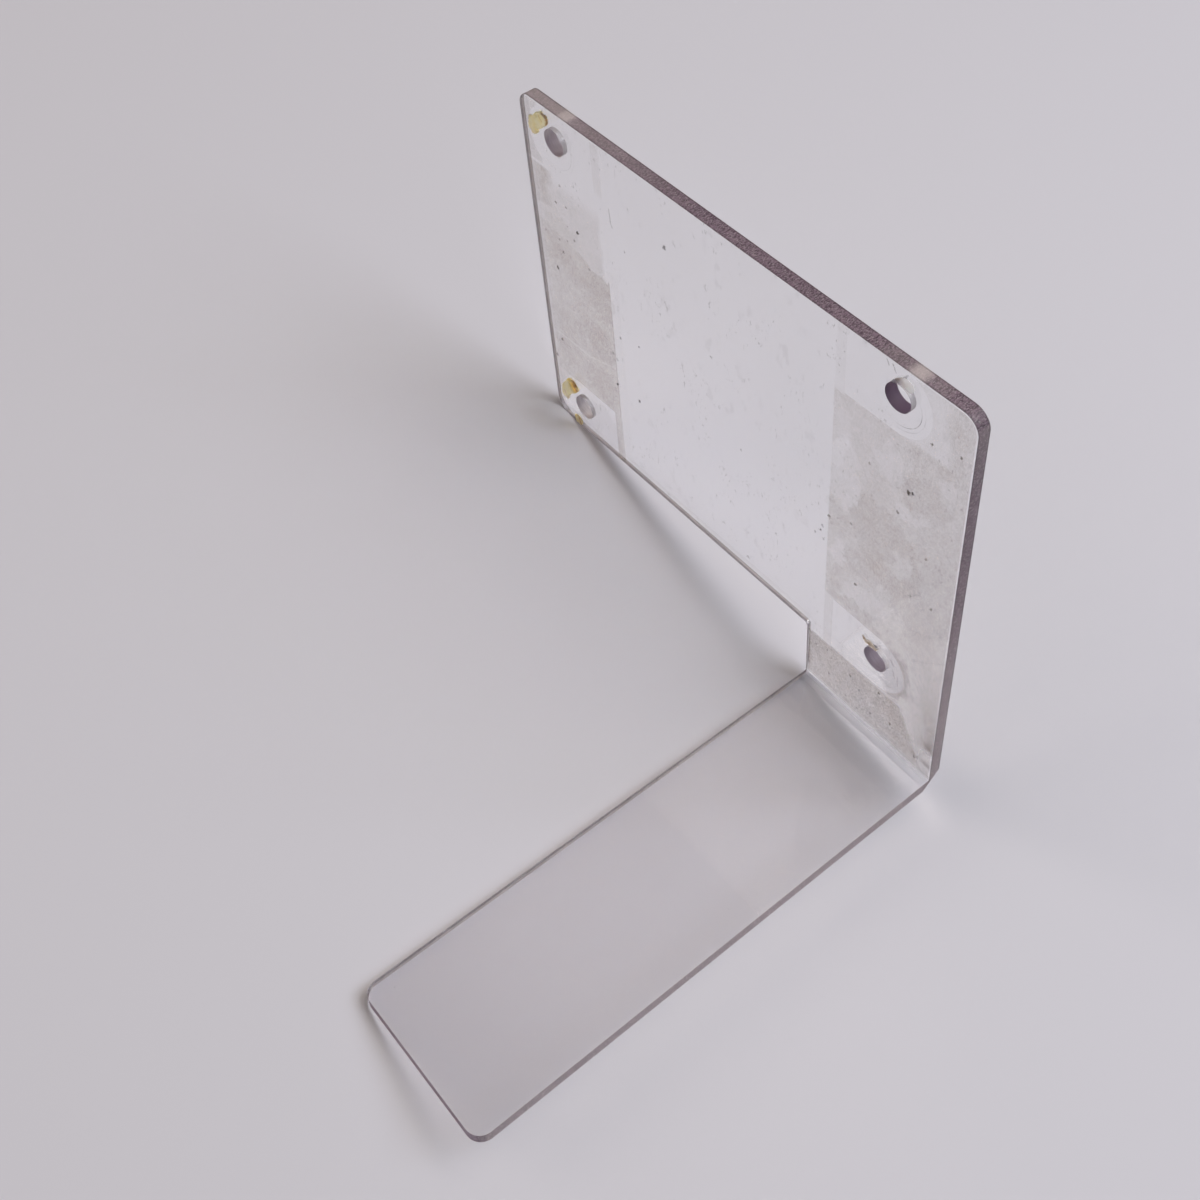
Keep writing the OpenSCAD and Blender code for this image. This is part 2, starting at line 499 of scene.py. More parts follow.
# %% Finish
class Finish(NodeTree):
    """One procedural material, with its shader's sockets set by name."""

    def __init__(self, name):
        self.material = bpy.data.materials.new(name)
        super().__init__(self.material)
        self.shader = self.tree.nodes["Principled BSDF"]
        self.place = self.node("ShaderNodeTexCoord", {}, {}, "Object")
        x, y, z = (self.node("ShaderNodeSeparateXYZ", {}, {"Vector": self.place}, axis)
                   for axis in "XYZ")
        self.across = (x - left_x) / mm
        self.forward = (front_y - y) / mm
        self.up = (z - panel_low_z) / mm

    def noise(self, size, detail=2.0, stretch=(1, 1, 1), turn=(0, 0, 0), rough=0.5):
        """Cloudy noise from 0 to 1, with lumps about `size` millimetres across."""
        spread = self.node("ShaderNodeMapping", {}, {
            "Vector": self.place, "Rotation": turn,
            "Scale": tuple(s / (size * mm) for s in stretch)})
        return self.node("ShaderNodeTexNoise", {}, {
            "Vector": spread, "Scale": 1.0, "Detail": detail, "Roughness": rough})

    def far(self, across, up):
        """Distance in millimetres from a point on the panel."""
        dx, dz = self.across - across, self.up - up
        return (dx * dx + dz * dz).root()

    def band(self, value, low, high, soft=0.5):
        """1 between two values, 0 beyond them, with soft ends."""
        return (value.ramp(low - soft / 2, low + soft / 2)
                * value.ramp(high + soft / 2, high - soft / 2))

    def left_of(self, start, end, soft=0.6, wobble=0.0):
        """1 on the left of the line from start to end, seen from the panel's front."""
        (x0, z0), (x1, z1) = start, end
        length = math.hypot(x1 - x0, z1 - z0)
        distance = ((self.up - z0) * ((x1 - x0) / length)
                    - (self.across - x0) * ((z1 - z0) / length) + wobble)
        return distance.ramp(-soft / 2, soft / 2)

    def stroke(self, start, end, width, wobble=0.0):
        """1 on a short straight mark with soft sides and ends."""
        (x0, z0), (x1, z1) = start, end
        length = math.hypot(x1 - x0, z1 - z0)
        run_x, run_z = (x1 - x0) / length, (z1 - z0) / length
        dx, dz = self.across - x0, self.up - z0
        along = dx * run_x + dz * run_z
        aside = abs(dz * run_x - dx * run_z + wobble)
        return aside.ramp(width * 0.75, width * 0.25) * self.band(along, 0, length, width)

    def ring(self, across, up, radius, width=0.4):
        """1 on a thin circle on the panel."""
        return self.band(self.far(across, up), radius - width / 2, radius + width / 2, width)

    def blot(self, across, up, wide, high, turn=0.0):
        """1 inside a ragged ellipse: its centre, half width, half height and turn."""
        if not hasattr(self, "ragged"):
            shift = self.node("ShaderNodeTexNoise", {}, {"Vector": self.place, "Scale": 250.0,
                                                         "Detail": 4.0, "Roughness": 0.6}, "Color")
            self.ragged = [(self.node("ShaderNodeSeparateColor", {}, {"Color": shift}, i) - 0.5) * 9
                           for i in (0, 1)]
        dx = self.across - across + self.ragged[0]
        dz = self.up - up + self.ragged[1]
        c, s = math.cos(math.radians(turn)), math.sin(math.radians(turn))
        x, z = (dx * c + dz * s) / wide, (dz * c - dx * s) / high
        return (x * x + z * z).root().ramp(1.12, 0.88)

    def specks(self, spots):
        """Small uneven specks, given as (across, up, radius, darkness)."""
        shift = [self.noise(0.6, 2, turn=(0, 0, i)) * 1.2 - 0.6 for i in (0, 1)]
        mask = None
        for across, up, radius, darkness in spots:
            dx, dz = self.across - across + shift[0], (self.up - up + shift[1]) * 0.8
            dot = (dx * dx + dz * dz).root().ramp(radius * 1.2, radius * 0.5) * darkness
            mask = dot if mask is None else mask.most(dot)
        return mask

    def dust(self, spacing, radius, share):
        """1 on fine random dots, a share of them kept, about `spacing` millimetres apart."""
        cell = {"Vector": self.place, "Scale": 1 / (spacing * mm)}
        near_dot = self.node("ShaderNodeTexVoronoi", {}, cell, "Distance")
        tint = self.node("ShaderNodeTexVoronoi", {}, cell, "Color")
        kept = self.node("ShaderNodeSeparateColor", {}, {"Color": tint}, 0)
        size = radius / spacing
        return near_dot.ramp(size * 1.2, size * 0.6) * kept.ramp(1 - share, 1.001 - share)

    def set(self, **values):
        for name, value in values.items():
            self.plug(self.shader.inputs[name.replace("_", " ")], value)
        return self.material

    def bump(self, height, distance, strength=1.0):
        return self.node("ShaderNodeBump", {}, {
            "Height": height, "Distance": distance, "Strength": strength})

# %% [markdown]
# ## Clear plastic
#
# Acrylic bends light with an index of about 1.49 and passes nearly all of it. Its
# broad faces are polished, but not clean: the foot has a thin haze of grime, specks
# of dirt cling to the front, faint smears make it a little rougher, and washers have
# left rings round the holes, most of all at the upper right. Toward the foot's far end
# a painted shade darkens the plastic. All of that goes into the base colour, which
# tints the light that passes, and into the roughness. Under the torn film on the neck,
# and at the bend's right end, the plastic is scuffed.

# %% Grime, painted shade on the foot, specks and fine marks
acrylic_ior = 1.49
hole_spots = [((x - left_x) / mm, (z - panel_low_z) / mm) for x in hole_columns for z in hole_rows]
clear_tint, grimy_tint = (0.985, 0.985, 0.99), (0.935, 0.922, 0.92)
haze_tint, dirt_tint = (0.62, 0.60, 0.62), (0.02, 0.017, 0.02)

clear = Finish("clear_plastic")
on_front = clear.band(clear.forward, -0.3, 0.3, 0.2)
on_foot = clear.forward.ramp(0.5, 9)
# Grime over the foot; its last factor is painted shade that darkens the foot toward its far end.
grime_and_foot_shade = on_foot * clear.noise(22, 3).ramp(0.25, 0.75, 0.8, 1.1) * clear.forward.ramp(60, 120, 1, 1.2)
loose_specks = clear.specks((
    (93.4, 35.6, 0.4, 1), (91.8, 33.5, 0.35, 0.7), (94.3, 33.2, 0.35, 0.7), (93.8, 37.3, 0.4, 0.7),
    (28.8, 44.2, 0.35, 0.8), (26.9, 36, 0.35, 0.7), (46.5, 81.8, 0.55, 0.9), (35.5, 46.3, 0.4, 0.8),
    (34, 28, 0.5, 1), (71, 5.5, 0.35, 0.7), (33, 72, 0.25, 0.6), (60, 61, 0.3, 0.6),
    (69, 40, 0.3, 0.6), (80, 22, 0.3, 0.6)))
hair = clear.stroke((28.6, 81), (28.9, 77), 0.3).most(clear.stroke((28.9, 77), (29.4, 76.2), 0.4))
marks = clear.noise(0.8, 3, stretch=(1.3, 1, 0.6), turn=(0, 0.6, 0), rough=0.6).ramp(0.61, 0.71)
faint_marks = marks * (clear.noise(7, 2).ramp(0.48, 0.6)
                       .most(clear.blot(66.5, 74, 2, 5, -10)).most(clear.blot(67, 58.5, 1.6, 5, 10))
                       .most(clear.blot(81, 37, 3.5, 2.5, 0)).most(clear.blot(83, 18, 3, 3, 0)))
print(f"clear faces: {len(clear.tree.nodes)} nodes for grime and specks")

# %% [markdown]
# A washer turned under each screw, and its rim left arcs in the plastic, deepest at
# the upper right hole. The short strokes beside the holes are scratches.

# %% Washer rings
rings = None
for across, up in hole_spots:
    strong = (across, up) == max(hole_spots)
    lower_right = clear.across.ramp(across - 1, across + 4, 0.1, 1) * clear.up.ramp(up + 3, up - 2)
    for radius, share in ((5.6, 0.9), (6.5, 0.4)):
        ring = clear.ring(across + 0.3, up - 0.6, radius, 0.15) * lower_right
        ring = ring * (share if strong else share * 0.3)
        rings = ring if rings is None else rings.most(ring)
rings = rings * clear.noise(2.5, 2).ramp(0.3, 0.5)
wobble = clear.noise(1.2, 2) * 1.2 - 0.6
for start, end in (((116.2, 9.4), (117, 7.2)), ((117.6, 8.6), (118, 5.4)), ((115.2, 12.4), (116.4, 11.2)),
                   ((114.8, 2.2), (116, 3.2)), ((107.6, 14.2), (108.6, 13.2)), ((113, 95), (111.5, 93)),
                   ((109.2, 95.2), (110, 93.4)), ((107.5, 95.3), (108.4, 94.2))):
    rings = rings.most(clear.stroke(start, end, 0.3, wobble) * 0.55)
print(f"clear faces: {len(clear.tree.nodes)} nodes with the rings")

# %% [markdown]
# Haze is grease and old adhesive that was wiped thin. It lies beside the lower holes
# and in smudges on the panel. Toward the foot's end a grey haze rises, which is
# painted shade. Fine lines run along the crease, where the hot sheet was folded.

# %% Haze, painted shade toward the foot's end, and crease lines
haze_and_foot_shade = (clear.blot(116.6, 8.5, 4.4, 8.5, 0) * 0.9).most(clear.blot(19, 7, 7, 7, 0) * 0.4)
haze_and_foot_shade = haze_and_foot_shade.most(clear.blot(9, 1.5, 5, 2, 0) * 0.5)
smudges = clear.noise(2.4, 3, stretch=(1.2, 1, 0.7)).ramp(0.57, 0.7) * clear.noise(11, 2).ramp(0.45, 0.6)
# The grey haze that rises toward the foot's far end is painted shade.
haze_and_foot_shade = (haze_and_foot_shade.most(smudges * 0.3) * on_front).most(clear.forward.ramp(80, 116, 0, 0.14))
crease_lines = None
for low, share in ((-16.9, 0.9), (-16.1, 0.6), (-15.2, 0.4)):
    line = clear.band(clear.up + clear.noise(9, 1) * 0.3, low, low + 0.2, 0.15) * share
    crease_lines = line if crease_lines is None else crease_lines.most(line)
dirt = on_front * (loose_specks.most(hair * 0.5).most(faint_marks * 0.5).most(rings)
                   .most(crease_lines).most(clear.dust(2.3, 0.1, 0.35) * 0.6))
dirt = dirt.most(clear.dust(6, 0.16, 0.25) * on_foot * 0.7)
print(f"clear faces: {len(clear.tree.nodes)} nodes with the haze")

# %% [markdown]
# The masks meet in one base colour: the clean tint first, then grime, haze and dirt,
# each over the one before; grime and haze also carry the painted shade toward the
# foot's end. The roughness stays near zero, because even a little of it blurs what lies
# behind the sheet, and it rises only where the plastic is scuffed.

# %% Clear faces
scuffed = (clear.up.ramp(-0.7, -1.5) * clear.across.ramp(90, 91) * on_front
           * (clear.left_of((126.8, -17), (119.5, -1), 3) * 0.18 + 0.12)
           .most(clear.across.ramp(122, 127) * clear.up.ramp(-5, -10) * clear.forward.ramp(8, 3) * 0.3))
smears = clear.noise(14, 4, stretch=(1, 1, 0.4), turn=(0, 0.6, 0)).ramp(0.5, 0.75)
clear_tone = clear.blend(haze_and_foot_shade, clear.blend(grime_and_foot_shade, clear_tint, grimy_tint), haze_tint)
clear.set(Base_Color=clear.blend(dirt, clear_tone, dirt_tint), Roughness=smears * 0.03 + scuffed,
          IOR=acrylic_ior, Transmission_Weight=1.0)
print(f"{clear.material.name}: {len(clear.tree.nodes)} nodes")

# %% [markdown]
# The sawn edges and the drilled walls are the same acrylic with a matt skin. Half of
# the light still passes and is scattered, so an edge shows how much light is inside
# the sheet behind it. The other half is plain scattering with a painted tone of light
# and shade: painted shade, dark mauve, where an edge looks along the clear panel and
# along both arrises, and painted light, pale, near a hole, a rim or a corner. The
# marks of saw and drill are mixed in, and raised a little.

# %% Sawn edges
sawn = Finish("sawn_edge")
saw_grain = sawn.noise(0.5, 3, stretch=(1.5, 0.6, 1.5), turn=(0.0, 0.0, 0.5), rough=0.7).ramp(0.36, 0.64)
saw_flecks = sawn.noise(0.35, 1, stretch=(1.6, 0.7, 1), turn=(0.0, 0.0, 0.6)).ramp(0.56, 0.66)
# Painted shade: both arrises of every edge are darkened.
shaded_arris = (1 - sawn.band(sawn.forward, -2.7, -0.3, 0.35)) * sawn.forward.ramp(0.2, -0.2)
on_top = sawn.up.ramp(95.2, 95.8)
# Painted light, pale: over the holes on the top edge, on the right edge, on the far half of the left and
# lower edges, and along the foot's sides.
lit_over_holes = ((sawn.across.ramp(18, 13) * 0.36).most(sawn.band(sawn.across, 12.5, 16.5, 2.5) * 0.62)
              .most(sawn.band(sawn.across, 112.5, 116.5, 3) * 0.6).most(sawn.across.ramp(60, 18) * 0.2)
              .most(sawn.band(sawn.across, 106, 121, 4) * 0.1)) * on_top
on_right = sawn.across.ramp(129, 129.4)
lit_right_low = on_right * (sawn.up.ramp(60, -5, 0.06, 0.3)).most(sawn.up.ramp(70, 92, 0, 0.15))
on_left, below = sawn.across.ramp(0.5, 0.2), sawn.up.ramp(0.5, 0.2) * sawn.across.ramp(91, 90.6)
lit_far_half = sawn.forward.ramp(-1.2, -1.8, 0.12, 0.85) * sawn.forward.ramp(0.2, -0.2)
foot_depth = sawn.forward * math.sin(foot_rise) - 18 - sawn.up
lit_foot_left = sawn.across.ramp(91, 90.7) * sawn.forward.ramp(0.2, 1) * foot_depth.ramp(1.3, 1.9, 0.1, 0.8)
lit_foot_sides = sawn.forward.ramp(0.2, 3) * sawn.forward.ramp(119.5, 119, 0.1, 1) * 0.1
painted_light_share = lit_over_holes.most(lit_right_low).most(on_left.most(below) * lit_far_half).most(lit_foot_left).most(lit_foot_sides)
# The grain runs between two tones of painted shade, dark mauve; the flecks are the saw's own; the pale tone
# is painted light.
sawn_shade_and_light_tone = sawn.blend(saw_grain, (0.06, 0.03, 0.05), (0.30, 0.20, 0.26))
sawn_shade_and_light_tone = sawn.blend(saw_flecks * 0.6, sawn_shade_and_light_tone, (0.62, 0.54, 0.57))
sawn_shade_and_light_tone = sawn.blend(painted_light_share, sawn_shade_and_light_tone, (0.88, 0.785, 0.74))
sawn.set(Base_Color=sawn.blend(shaded_arris * 0.55, sawn_shade_and_light_tone, (0.05, 0.03, 0.04)),
         Roughness=saw_grain * 0.2 + 0.42, IOR=acrylic_ior, Transmission_Weight=0.5,
         Normal=sawn.bump(saw_grain + saw_flecks * 0.3, 0.05 * mm, 0.6))
print(f"{sawn.material.name}: {len(sawn.tree.nodes)} nodes")

# %% [markdown]
# A drill leaves fine rings in a hole's wall, so its noise is squeezed along Y. Every
# wall has painted light on its right side, pale. The rest of it is painted light as
# well at the two left holes, and painted shade, mauve and darker, at the two right ones.

# %% Drilled walls
drilled = Finish("drilled_wall")
drill_marks = drilled.noise(0.9, 3, stretch=(0.4, 3, 0.4)).ramp(0.3, 0.7)
on_left_half = drilled.across.ramp(60, 50)
hole_x = on_left_half * (hole_spots[0][0] - hole_spots[2][0]) + hole_spots[2][0]
low_holes = drilled.up.ramp(60, 40)
hole_up = low_holes * (hole_spots[0][1] - hole_spots[1][1]) + hole_spots[1][1]
# Painted light: each wall is pale on its right side.
lit_wall_side = ((drilled.across - hole_x) + (drilled.up - hole_up) * 0.5).ramp(0.6, 1.8)
# Painted shade, mauve and dark, on the two right walls; painted light, pale, on the two left walls, except a
# grey painted shade on the lower half of the upper left one.
shaded_wall_tone = drilled.blend(low_holes, (0.14, 0.08, 0.145), (0.30, 0.24, 0.30))
lit_wall_tone = drilled.blend(low_holes, drilled.blend(drilled.up.ramp(86.5, 90), (0.50, 0.42, 0.46),
                                                   (0.92, 0.86, 0.86)), (0.98, 0.92, 0.93))
painted_wall_light_and_shade = drilled.blend(lit_wall_side, drilled.blend(on_left_half, shaded_wall_tone, lit_wall_tone), (0.97, 0.93, 0.95))
drilled.set(Base_Color=drilled.blend(drill_marks * 0.3, painted_wall_light_and_shade, (0.10, 0.07, 0.10)),
            Roughness=0.65, IOR=acrylic_ior, Transmission_Weight=0.6, Specular_IOR_Level=0.25,
            Normal=drilled.bump(drill_marks, 0.05 * mm, 0.6))
print(f"{drilled.material.name}: {len(drilled.tree.nodes)} nodes")

# %% [markdown]
# One mesh can wear several materials, because each face holds the number of its own.
# A face's normal tells a broad face from an edge, and its distance from a hole's
# centre tells a drilled wall from a sawn edge.

# %% Give each face its finish
foot_face = -foot_down


def finish_of(face):
    """0 for a broad face or the bend's flat, 2 for a hole wall, 1 for any other edge."""
    n = face.normal
    broad = (abs(n.y), abs(n.dot(foot_face)), abs(n.dot(flat_normal)))
    if max(broad) > 0.999:
        return 0
    at_hole = any(math.hypot(face.center.x - x, face.center.z - z) < hole_r + 0.3 * mm
                  for x in hole_columns for z in hole_rows)
    return 2 if at_hole else 1


for finish in (clear, sawn, drilled):
    sheet.data.materials.append(finish.material)
for face in sheet.data.polygons:
    face.material_index = finish_of(face)
print("faces per finish:", [sum(f.material_index == i for f in sheet.data.polygons) for i in range(3)])

# %% [markdown]
# ## Tape adhesive
#
# The adhesive is a tan haze: most light passes, some is scattered. A single alpha
# value would look like tinted glass, so alpha follows how thick the layer was left.
# The main zones have straight borders, where the tape's edge or a tear ran. Inside
# them, ragged ellipses are a little thicker or thinner, and a fine grain and specks
# of dirt lie over everything.

# %% A film with an uneven coat
full_coat = 0.25


def adhesive(name, coat_of, dirt_spots):
    """A film whose alpha is `coat_of(film)` times a full coat, with specks of dirt."""
    film = Finish(name)
    mottle = film.noise(2.2, 5, rough=0.65).ramp(0.3, 0.7, 0.84, 1.14)
    grain = film.noise(0.35, 2, stretch=(1, 1, 0.6), turn=(0, 0.6, 0)).ramp(0.3, 0.7, 0.7, 1.3)
    alpha = coat_of(film) * mottle * grain * full_coat
    fine_dirt = film.dust(1.5, 0.12, 0.35) * film.noise(5, 2).ramp(0.45, 0.6) * 0.45
    dirt = film.specks(dirt_spots).most(fine_dirt)
    tone = film.blend(film.noise(6, 3).ramp(0.35, 0.65), (0.40, 0.26, 0.13), (0.40, 0.29, 0.20))
    return film.set(Base_Color=film.blend(dirt, tone, (0.04, 0.035, 0.035)), Roughness=0.6,
                    Alpha=alpha.most(dirt * 0.85), Normal=film.bump(mottle, 0.04 * mm, 0.5))


def uneven(film, coat, blots):
    """Adds ragged ellipses to a coat, each with its change of thickness."""
    for across, up, wide, high, turn, change in blots:
        coat = coat + film.blot(across, up, wide, high, turn) * change
    return coat

# %% [markdown]
# On the left strip the tape tore half way up: below the tear its adhesive is thick,
# above it most was rubbed off. A pale line crosses the thick part, where the tape
# had a fold, and thin strips are left beside the clean tabs.

# %% Coat of the left film
def left_coat(film):
    """Torn tape low down, rubbed adhesive above it, thin strips beside the tabs."""
    ragged = film.noise(5, 3) * 4 - 2
    edge = film.noise(1.2, 2) * 0.6 - 0.3
    torn = (film.left_of((26.4, 58), (9, 62.5), 1, ragged) * film.left_of((0, 16), (30, 16), 1, edge)
            * film.left_of((26.4, 0), (26.4, 60), 0.4, edge))
    torn_rim = film.band(film.across + edge * 0.6, 26, 26.4, 0.3) * film.band(film.up, 17, 59, 1)
    torn = uneven(film, torn * 0.52, (
        (22.5, 53, 4.5, 7, 0, 0.15), (21, 36, 5, 6, 20, 0.14), (8, 45, 6, 9, -20, -0.08),
        (12, 54, 5, 5, 30, 0.08), (20, 23, 6, 5, 0, 0.10), (5, 25, 3, 3, 0, 0.10), (6, 57, 5, 3, 10, 0.06)))
    pale_line = (film.stroke((2, 28.6), (17, 29.4), 0.4, edge)
                 .most(film.stroke((16, 29.2), (26, 32.4), 0.4, edge)))
    patch = (film.left_of((0, 67), (12, 69.5), 1.5, edge) * film.left_of((10.5, 79), (0, 79), 1)
             * film.left_of((7.5, 60), (7.5, 80), 5, ragged))
    rubbed = film.left_of((24.5, 0), (24.5, 96), 2, ragged * 0.5) * film.band(film.up, 57, 76, 6)
    rubbed = uneven(film, rubbed * 0.24, ((8, 62, 9, 4, 10, 0.14), (5, 68, 4, 3, 0, 0.08)))
    slivers = film.across.ramp(6.5, 5.5) * film.up.ramp(16.4, 16).most(film.up.ramp(79.6, 80))
    low_strip = film.band(film.across, 23.6, 26.5, 0.6) * film.left_of((30, 16.5), (0, 16.5), 1)
    top_strip = film.band(film.across, 23.8, 26.6, 0.8) * film.left_of((0, 83), (30, 83), 3)
    coat = (torn * (1 - pale_line * 0.45)).most(torn_rim * 0.8).most(patch * 0.6).most(rubbed)
    coat = coat * film.across.ramp(1, 6, 0.45, 1)
    return coat.most(slivers * 0.25).most(low_strip * 0.46).most(top_strip * 0.16)

# %% [markdown]
# On the right strip the adhesive was rubbed about, so it has cloudy patches and
# clean streaks, and it fades toward the top. The tape ran on down the neck, where a
# slanting tear left the adhesive thick on its left and thin on its right.

# %% Coat of the right film
def right_coat(film):
    """Half-rubbed adhesive beside the panel's middle, torn tape on the neck."""
    ragged = film.noise(4, 3) * 4 - 2
    edge = film.noise(1.2, 2) * 0.6 - 0.3
    panel = film.left_of((95.5, 96), (95.5, -1), 0.5, edge * 0.4)
    coat = uneven(film, panel * 0.41, (
        (111.5, 46, 9, 12, 25, 0.20), (120, 34, 7, 7, 0, 0.08), (106, 35, 6, 5, 20, 0.14),
        (98.3, 44, 3, 6, 0, 0.08), (98.6, 33, 1.8, 4, 0, -0.16), (115.5, 44, 2.5, 4.5, -25, -0.20),
        (107, 25, 7.5, 3.5, 30, -0.14), (97.8, 24, 1.8, 5.5, 0, 0.14), (122, 24, 6, 5, 0, 0.06),
        (104, 18.6, 8, 2.2, 0, 0.16), (99, 58, 5, 10, 0, -0.17), (97, 68, 3, 9, 0, -0.12),
        (117, 61, 5, 2.2, 20, -0.14),
        (120, 68, 7, 5, 35, 0.17), (124.5, 73, 1.6, 3, 0, -0.16), (123, 84, 5, 9, 0, 0.10),
        (110, 71, 3, 6, 0, -0.15), (102, 72, 5, 7, 0, -0.05), (117, 77, 1.8, 4, 0, 0.12)))
    faded = film.left_of((95, 79.5), (119.5, 80), 1.5, edge) * film.left_of((126, 70), (122, 100), 4, ragged)
    coat = coat * (1 - faded * 0.65)
    neck_torn = film.left_of((126.8, -17), (119.5, -1), 1.2, ragged * 0.4)
    neck = film.left_of((132, -0.9), (80, -0.9), 0.7, edge) * (neck_torn * 0.58 + 0.22)
    tab_rim = film.ring(hole_spots[2][0], hole_spots[2][1], 9.2, 1.6) * film.left_of((115, 20), (115, -5), 3)
    worn = film.up.ramp(-17.6, -15.5, 0.3, 1)
    beside_tabs = film.band(film.across, 94, 98) * (1 - film.band(film.up, 17, 79, 0.5))
    return (coat * (1 - beside_tabs * 0.6)).most(neck * worn).most(tab_rim * 0.6)

# %% [markdown]
# Dust sticks to adhesive, so each film carries more specks than the bare plastic.
# The fine ones are random. The larger ones are placed one by one, as (across, up,
# radius, darkness).

# %% Adhesive on both films
film_left.data.materials.append(adhesive("tape_adhesive_left", left_coat, (
    (26.2, 27.7, 0.4, 1), (7, 51, 0.42, 1), (16.3, 67, 0.4, 0.9), (10, 57.5, 0.35, 0.7),
    (9, 60.5, 0.32, 0.7), (25.5, 37, 0.35, 0.6), (5, 27, 0.4, 0.7), (9.3, 71.2, 0.32, 0.6),
    (13, 72, 0.28, 0.6), (11.5, 77, 0.32, 0.4), (19.5, 58.3, 0.3, 0.6), (14.8, 63.8, 0.4, 0.5),
    (12, 62, 0.35, 0.4), (4, 60.4, 0.35, 0.5), (2, 20, 0.5, 0.4), (12.7, 66.5, 0.3, 0.3))))
film_right.data.materials.append(adhesive("tape_adhesive_right", right_coat, (
    (115.6, 66.4, 0.5, 0.9), (116.6, 66.9, 0.42, 0.9), (119.8, 83, 0.35, 0.7), (126.5, 85, 0.3, 0.6),
    (105.5, 66.3, 0.35, 0.5), (113.5, 59, 0.35, 0.6), (118.8, 38, 0.3, 0.6), (124.2, 39, 0.35, 0.6),
    (121.5, 52, 0.35, 0.5), (104, 27.5, 0.4, 0.6), (101.7, 45, 0.4, 0.4), (95.7, 42, 0.45, 0.5),
    (104.8, 94.8, 0.35, 0.7), (108.4, 94.4, 0.45, 0.7), (104.5, -5.2, 0.35, 0.8),
    (107.3, -7.7, 0.4, 0.8), (97.9, -11.3, 0.35, 0.6), (103.3, -14, 0.35, 0.6), (107, -15, 0.35, 0.5),
    (117, -10, 0.42, 0.8), (124.7, -14, 0.38, 0.8), (113, -2.5, 0.38, 0.7), (97, -3.3, 0.3, 0.6),
    (111, -12.5, 0.3, 0.5), (93.5, -4.5, 0.3, 0.6), (98.3, -4.8, 0.25, 0.5), (108.6, -13.9, 0.25, 0.5),
    (117.8, -10.8, 0.3, 0.5), (120.5, -13.2, 0.3, 0.4), (100.7, -13.5, 0.3, 0.4))))
for film in (film_left, film_right):
    print(film.name, "wears", film.data.materials[0].name)

# %% [markdown]
# ## Glue
#
# Dried glue lets light through, so it looks brighter than any opaque yellow could
# against the pale table. The base colour varies from straw to amber, and brown
# strokes follow parts of the rims, darkest on the upper right of the flakes.

# %% Glue finishes
brown, dark_brown, pinkish = (0.45, 0.20, 0.05), (0.22, 0.11, 0.05), (0.74, 0.55, 0.44)


def glue(name, pale, deep, strokes, through=0.85, ior=1.46):
    """Translucent dried glue, mottled pale to deep, with strokes of (start, end, width, colour)."""
    finish = Finish(name)
    streaks = finish.noise(1.4, 4, stretch=(1.3, 1, 0.6), turn=(0, 0.5, 0), rough=0.65)
    ragged = finish.noise(0.8, 2) * 0.8 - 0.4
    body = finish.blend(streaks.ramp(0.35, 0.65), pale, deep)
    for start, end, width, colour in strokes:
        body = finish.blend(finish.stroke(start, end, width, ragged) * 0.9, body, colour)
    return finish.set(Base_Color=body, Roughness=0.35, IOR=ior, Transmission_Weight=through,
                      Normal=finish.bump(streaks, 0.08 * mm, 0.6))


glue_jobs = (
    (flake_upper, "dried_glue", glue("straw_glue", (0.98, 0.94, 0.68), (0.93, 0.84, 0.44), (
        ((8.2, 94.6), (10.2, 94), 0.7, dark_brown), ((10.2, 94), (9.6, 91.4), 0.5, brown),
        ((5.2, 93.5), (5.7, 92.8), 0.8, (0.36, 0.30, 0.16)), ((3.2, 91.4), (2.9, 88.5), 0.5, pinkish),
        ((2.9, 88.5), (4.4, 86.9), 0.5, pinkish), ((7.4, 93.6), (8.4, 92.2), 0.4, (0.70, 0.55, 0.25))))),
    (flake_lower, "dried_glue", glue("amber_glue", (0.99, 0.95, 0.74), (0.96, 0.86, 0.45), (
        ((5.4, 14.4), (6.8, 14.8), 0.9, (0.99, 0.80, 0.15)), ((6.8, 14.2), (9, 12), 2.2, (0.98, 0.62, 0.05)),
        ((7.6, 15), (9.6, 12.6), 0.9, (0.34, 0.13, 0.03)),
        ((6.2, 13.6), (7.2, 11.4), 0.5, (0.62, 0.54, 0.20)),
        ((4, 9.6), (5.4, 7), 0.4, pinkish)))),
    (streak, "dried_glue", glue("smeared_glue", (0.98, 0.92, 0.66), (0.94, 0.76, 0.34), (
        ((6.8, 3.2), (8.2, 3.6), 0.8, pinkish), ((8.4, 2.8), (9.5, 0.6), 0.5, brown)))),
    (patch, "tan_glue", glue("tan_glue", (0.995, 0.99, 0.97), (0.97, 0.95, 0.90), (
        ((110, 92.2), (111.5, 93.6), 0.8, (0.75, 0.68, 0.58)),), 1.0, 1.08)),
    (curl, "tan_glue", glue("thread_glue", (0.99, 0.97, 0.93), (0.80, 0.70, 0.58), (
        ((108.6, 11.8), (109.8, 12.4), 1, (0.40, 0.29, 0.18)),
        ((107.2, 13), (108.4, 12), 0.5, (0.40, 0.29, 0.18))), 0.9)),
)
for piece, slot, finish in glue_jobs:
    piece.data.materials.append(finish)
    print(piece.name, "wears", finish.name)

# %% [markdown]
# ## The table, the light and the camera
#
# The stand can't stand level: its panel reaches far past the foot, so it leans
# to its left until the panel's lower left corner touches the table. The lean
# follows from the shape: the table's plane goes through the foot's lower left
# edge and touches the rounded corner. In this file the stand is upright, so the
# table leans instead.

